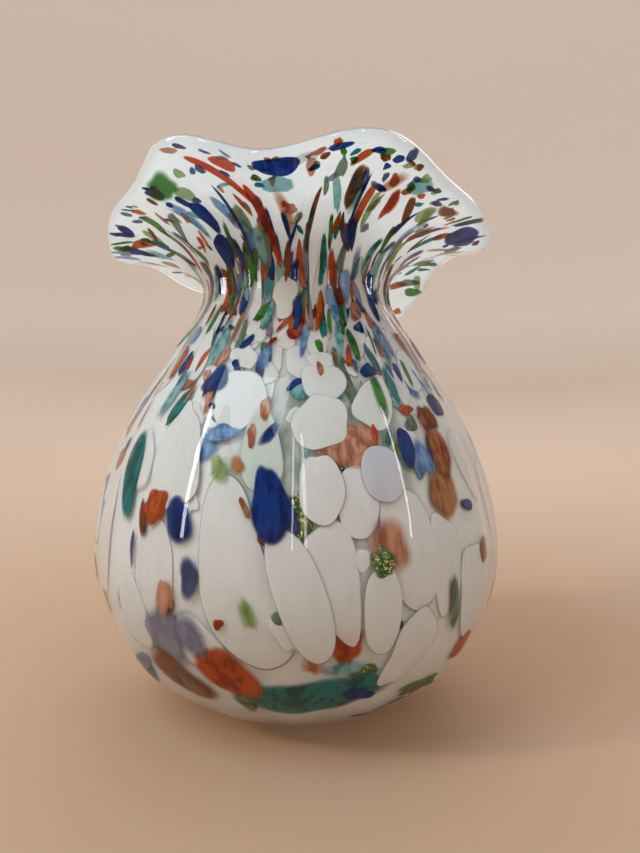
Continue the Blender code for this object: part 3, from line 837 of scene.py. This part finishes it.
class GlassSettings(bpy.types.PropertyGroup):
    clear: bpy.props.FloatVectorProperty(
        name="Clear", description="Tint of the clear glass", subtype="COLOR", default=(0.97, 0.985, 0.98)
    )
    milk: bpy.props.FloatVectorProperty(
        name="Milk", description="Cloudy white of the bubble", subtype="COLOR", default=(0.82, 0.83, 0.83)
    )
    # Dark grey-green painted at the front where the milk is thin: painted shade.
    thin_milk_shade: bpy.props.FloatVectorProperty(
        name="Clearing", description="Thin part at the front", subtype="COLOR", default=(0.30, 0.37, 0.29)
    )
    milk_deep: bpy.props.FloatVectorProperty(
        name="Thin milk", description="Its greyer parts", subtype="COLOR", default=(0.74, 0.75, 0.72)
    )
    body_cover: bpy.props.FloatProperty(
        name="Body cover", description="How much the milk hides in the body", default=0.97
    )
    rim_cover: bpy.props.FloatProperty(
        name="Rim cover", description="How much the milk hides at the lip", default=0.88
    )


class StageSettings(bpy.types.PropertyGroup):
    # The floor's colour next to the vase, darker than the backdrop: painted shade.
    shaded_floor_colour: bpy.props.FloatVectorProperty(
        name="Floor", description="Colour round the vase", subtype="COLOR", default=(0.475, 0.30, 0.19)
    )
    far_colour: bpy.props.FloatVectorProperty(
        name="Backdrop", description="Colour of the backdrop", subtype="COLOR", default=(0.92, 0.75, 0.63)
    )
    sky: bpy.props.FloatProperty(name="Sky", description="Strength of the soft sky", default=0.73)
    window_power: bpy.props.FloatProperty(
        name="Window", description="Watts of the window panel", default=3.2
    )
    fill_power: bpy.props.FloatProperty(name="Fill", description="Watts of the fill panel", default=1.4)


class VASE_OT_wall(bpy.types.Operator):
    """Clear ribbed wall, from the ground base to the ruffled lip and down the bore"""

    bl_idname = "vase.wall"
    bl_label = "Clear wall"

    def execute(self, context):
        wall = context.scene.vase_wall
        outer = outline_rows(0.0, WALL_LENGTH, 0.0, wall.row)
        inner = outline_rows(0.0, WALL_LENGTH, INNER_DEPTH, wall.row)
        lip = (outer[-1] + inner[-1]) / 2 + np.array([LIP_BULGE, 0.0, 0.0])
        start = np.array([[0.0, 0.0, 0.0]])
        end = np.array([[0.0, inner[0][1], 0.0]])
        outline = np.concatenate([start, outer, [lip], inner[::-1], end])
        ribs = np.zeros(len(outline))
        ribs[1 : 1 + len(outer)] = 1.0
        shell = turned("clear_wall", outline, ribs, wall.turn_steps)
        shell.data.materials.append(clear_glass())
        settle(shell, "clear_glass", "casing", "lining")
        return {"FINISHED"}


class VASE_OT_milk(bpy.types.Operator):
    """Thin milky skin between the chips and the bore"""

    bl_idname = "vase.milk"
    bl_label = "Milk skin"

    def execute(self, context):
        top = WALL_LENGTH - MILK_END_ROOM
        outer = outline_rows(0.0, top, MILK_DEPTH[0], MILK_ROW)
        inner = outline_rows(0.0, top, MILK_DEPTH[1], MILK_ROW)
        start = np.array([[0.0, outer[0][1], 0.0]])
        end = np.array([[0.0, inner[0][1], 0.0]])
        outline = np.concatenate([start, outer, inner[::-1], end])
        shell = turned("milk_skin", outline, np.zeros(len(outline)), MILK_TURN_STEPS)
        shell.data.materials.append(milk_glass())
        settle(shell, "opal_white")
        return {"FINISHED"}


class VASE_OT_chips(bpy.types.Operator):
    """The large chips, each a lens of glass in the wall"""

    bl_idname = "vase.chips"
    bl_label = "Large chips"

    def execute(self, context):
        blank = lens_blank(*LARGE_BLANK)
        glasses = {}
        for number, chip in enumerate(CHIPS):
            name, glass = chip[:2]
            if glass not in glasses:
                glasses[glass] = chip_glass(glass)
            piece = chip_from(blank, "chip_" + name, chip, random.Random(number + 1))
            piece.data.materials.append(glasses[glass])
            settle(piece, CHIP_GLASSES[glass][3], name)
        bpy.data.objects.remove(blank)
        return {"FINISHED"}


def frit_piece(glass, blank, rows, dice):
    """Every small chip of one colour, joined into one piece."""
    copies = []
    for turn, along, length, width, lean, level, soft in rows:
        drawn = 1.0 + NECK_DRAW * (NECK_BAND[0] < along < NECK_BAND[1])
        length, width = length * drawn, width / drawn**0.5
        taper = dice.uniform(-0.5, 0.5)
        chip = (None, glass, turn, along, length, width, lean, level, taper, 0.0, soft)
        copies.append(chip_from(blank, "frit_" + glass, chip, dice))
    deselect()
    for copy in copies:
        copy.select_set(True)
    bpy.context.view_layer.objects.active = copies[0]
    bpy.ops.object.join()
    return copies[0]


def band_rows(dice, band):
    """The chips of one band, drawn one after another."""
    count, turns, (start, reach, power), highest, lengths, widths, lean = band
    for _ in range(count):
        turn, along = dice.uniform(*turns), start + reach * dice.random() ** power
        size = (dice.uniform(*lengths), dice.uniform(*widths), dice.gauss(0, lean))
        yield (turn, min(along, highest), *size)


def scattered(dice):
    """Chips scattered over the back and sides, the neck and the lip."""
    rows = {}
    for band in SCATTER_BANDS:
        for row in band_rows(dice, band):
            rows.setdefault(dice.choice(SCATTER_COLOURS), []).append(row)
    rows.setdefault("white", []).extend(band_rows(dice, WHITE_BAND))
    return rows


def cloudy(dice):
    """Soft patches of colour that lie against the milk all round."""
    rows = {}
    for _ in range(CLOUD_COUNT):
        turn, along = dice.uniform(-180, 180), dice.uniform(*CLOUD_PLACES)
        length = dice.uniform(*CLOUD_LENGTHS)
        width = dice.uniform(*(CLOUD_NECK_WIDTHS if along > CLOUD_NECK else CLOUD_BODY_WIDTHS))
        glass = dice.choice(CLOUD_COLOURS)
        rows.setdefault(glass, []).append((turn, along, length, width, dice.gauss(0, CLOUD_LEAN)))
    return rows


class VASE_OT_frit(bpy.types.Operator):
    """The small chips and drawn streaks, one piece for each colour"""

    bl_idname = "vase.frit"
    bl_label = "Frit and streaks"

    def execute(self, context):
        dice = random.Random(11)
        blank = lens_blank(*SMALL_BLANK)
        opal_blank = lens_blank(*OPAL_BLANK)
        extra = scattered(dice)
        clouds = cloudy(dice)
        for glass, rows in FRIT.items():
            rows = list(rows) + extra.get(glass, [])
            levels = WHITE_LEVELS if glass == "white" else FRIT_LEVELS
            rows = [(*row, dice.choice(levels), dice.uniform(*FRIT_SOFTNESS)) for row in rows]
            for row in clouds.get(glass, []):
                rows.append((*row, CLOUD_LEVEL, dice.uniform(*CLOUD_SOFTNESS)))
            rows += [(*row[1:-1], PATCH_LEVEL, row[-1]) for row in PATCHES if row[0] == glass]
            if glass == "white":
                crisp = FRIT_SOFTNESS[0]
                neck = band_rows(dice, NECK_WHITE_BAND)
                rows += [(*row, NECK_WHITE_LEVEL, crisp) for row in neck]
            piece = frit_piece(glass, opal_blank if glass == "white" else blank, rows, dice)
            known = bpy.data.materials.get(glass + "_chips")
            piece.data.materials.clear()
            piece.data.materials.append(known or chip_glass(glass))
            settle(piece, CHIP_GLASSES[glass][3])
        bpy.data.objects.remove(blank)
        bpy.data.objects.remove(opal_blank)
        return {"FINISHED"}


class VASE_OT_stage(bpy.types.Operator):
    """Pale floor and backdrop, soft lights and the camera"""

    bl_idname = "vase.stage"
    bl_label = "Stage"

    def execute(self, context):
        stage = context.scene.vase_stage
        self.bowl(stage)
        self.sky(context.scene, stage)
        self.lights(stage)
        self.camera(context.scene)
        context.scene.view_settings.view_transform = "Standard"
        return {"FINISHED"}

    def bowl(self, stage):
        """A wide round floor that curves up into its own backdrop."""
        deselect()
        bpy.ops.mesh.primitive_circle_add(vertices=96, radius=BOWL_RADIUS, fill_type="NGON")
        floor = bpy.context.object
        floor.name = "floor"
        bpy.ops.object.mode_set(mode="EDIT")
        bpy.ops.mesh.select_mode(type="EDGE")
        bpy.ops.mesh.select_all(action="SELECT")
        bpy.ops.mesh.inset(thickness=BOWL_BANK)
        bpy.ops.mesh.select_all(action="DESELECT")
        bpy.ops.object.mode_set(mode="OBJECT")
        for vertex in floor.data.vertices:
            if vertex.co.length > BOWL_RADIUS - BOWL_BANK / 2:
                vertex.co.z = BOWL_HEIGHT
        bpy.ops.object.modifier_add(type="BEVEL")
        bevel = floor.modifiers[0]
        bevel.width = BOWL_ROUNDING
        bevel.segments = BOWL_ROUNDING_STEPS
        bevel.angle_limit = BOWL_FOLD
        bpy.ops.object.modifier_apply(modifier=bevel.name)
        floor.data.shade_smooth()
        floor.data.materials.append(self.shaded_floor_finish(stage))
        floor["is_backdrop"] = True

    def shaded_floor_finish(self, stage):
        """Matt and plain, with painted shade that darkens it round the vase."""
        finish = Finish("pale_floor")
        # Painted shade: a spherical gradient darkens the floor towards the vase.
        spot = {"Vector": finish.place((0.6, 0.6, 0.6))}
        settings = {"gradient_type": "SPHERICAL"}
        painted_shade_zone = finish.node("ShaderNodeTexGradient", settings, spot, "Fac")
        tone = finish.blend(painted_shade_zone, rgba(stage.far_colour), rgba(stage.shaded_floor_colour))
        inputs = {"Base Color": tone, "Roughness": 0.8, "Specular IOR Level": 0.0}
        return finish.end(finish.node("ShaderNodeBsdfPrincipled", {}, inputs, 0))

    def sky(self, scene, stage):
        """Even light from all round."""
        world = bpy.data.worlds.new("soft_sky")
        scene.world = world
        world.use_nodes = True
        sky = world.node_tree.nodes["Background"]
        sky.inputs["Color"].default_value = (0.88, 0.95, 1.0, 1.0)
        sky.inputs["Strength"].default_value = stage.sky

    def lights(self, stage):
        """The window, the lamp, the panels that fill the shadows and the strips."""
        window = (0.60, 0.83, 1.0)
        self.panel("window", (-0.43, -0.32, 0.76), (0.34, 0.46), stage.window_power, window)
        self.panel("fill", (0.75, -0.55, 0.55), (0.7, 0.7), stage.fill_power, (1.0, 0.97, 0.93))
        for turn, width, power in STRIPS:
            angle = math.radians(turn)
            across, towards = STRIP_DISTANCE * math.sin(angle), -STRIP_DISTANCE * math.cos(angle)
            spot = (across, towards, STRIP_MIDDLE)
            strip = self.panel("strip", spot, (width, STRIP_TALL), power, (1.0, 1.0, 1.0))
            strip.visible_diffuse = False
            strip.visible_transmission = False
        self.panel("lamp", (-0.65, -0.29, 0.53), (0.06, 0.06), 1.6, (1.0, 0.86, 0.62))
        front = self.panel("front", (-1.0, -1.4, 0.55), (0.6, 0.6), 2.6, (0.92, 0.97, 1.0))
        front.visible_glossy = False
        self.panel("back", (0.1, 0.7, 0.7), (0.9, 0.5), 2.4, (1.0, 0.97, 0.94))

    def camera(self, scene):
        """A wide lens held level and close to the vase."""
        lens = bpy.data.cameras.new("camera")
        camera = bpy.data.objects.new("camera", lens)
        scene.collection.objects.link(camera)
        camera.location = CAMERA_PLACE
        camera.rotation_euler = (math.pi / 2, 0.0, 0.0)
        lens.sensor_width = 36.0
        lens.lens = 27.0
        lens.shift_x = 0.028
        lens.clip_start = 0.01
        scene.camera = camera

    def panel(self, name, place, size, power, colour):
        """An area light that faces the vase."""
        light = bpy.data.lights.new(name, "AREA")
        light.shape = "RECTANGLE"
        light.size, light.size_y = size
        light.energy = power
        light.color = colour
        lamp = bpy.data.objects.new(name, light)
        bpy.context.scene.collection.objects.link(lamp)
        lamp.location = place
        aim = np.array(LIGHT_AIM) - np.array(place)
        spin = math.atan2(-aim[0], aim[1])
        lamp.rotation_euler = (math.pi / 2 + math.atan2(aim[2], math.hypot(*aim[:2])), 0.0, spin)
        lamp.visible_camera = False
        return lamp


class VASE_PT_panel(bpy.types.Panel):
    """Builds the vase piece by piece"""

    bl_label = "Art glass vase"
    bl_idname = "VASE_PT_panel"
    bl_space_type = "VIEW_3D"
    bl_region_type = "UI"
    bl_category = "Vase"

    def draw(self, context):
        for operator in OPERATORS:
            self.layout.operator(operator.bl_idname)


GROUPS = {"vase_wall": WallSettings, "vase_glass": GlassSettings, "vase_stage": StageSettings}
OPERATORS = (VASE_OT_wall, VASE_OT_milk, VASE_OT_chips, VASE_OT_frit, VASE_OT_stage)


def register():
    for name, group in GROUPS.items():
        bpy.utils.register_class(group)
        setattr(bpy.types.Scene, name, bpy.props.PointerProperty(type=group))
    for operator in (*OPERATORS, VASE_PT_panel):
        bpy.utils.register_class(operator)


def unregister():
    for operator in (VASE_PT_panel, *reversed(OPERATORS)):
        bpy.utils.unregister_class(operator)
    for name, group in GROUPS.items():
        delattr(bpy.types.Scene, name)
        bpy.utils.unregister_class(group)


def main():
    register()
    bpy.ops.vase.wall()
    bpy.ops.vase.milk()
    bpy.ops.vase.chips()
    bpy.ops.vase.frit()
    bpy.ops.vase.stage()
    boxes = {"cad": CAD_BOX, "visual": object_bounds()}
    sizes = {name: [list(low), list(high)] for name, (low, high) in boxes.items()}


if __name__ == "__main__":
    main()
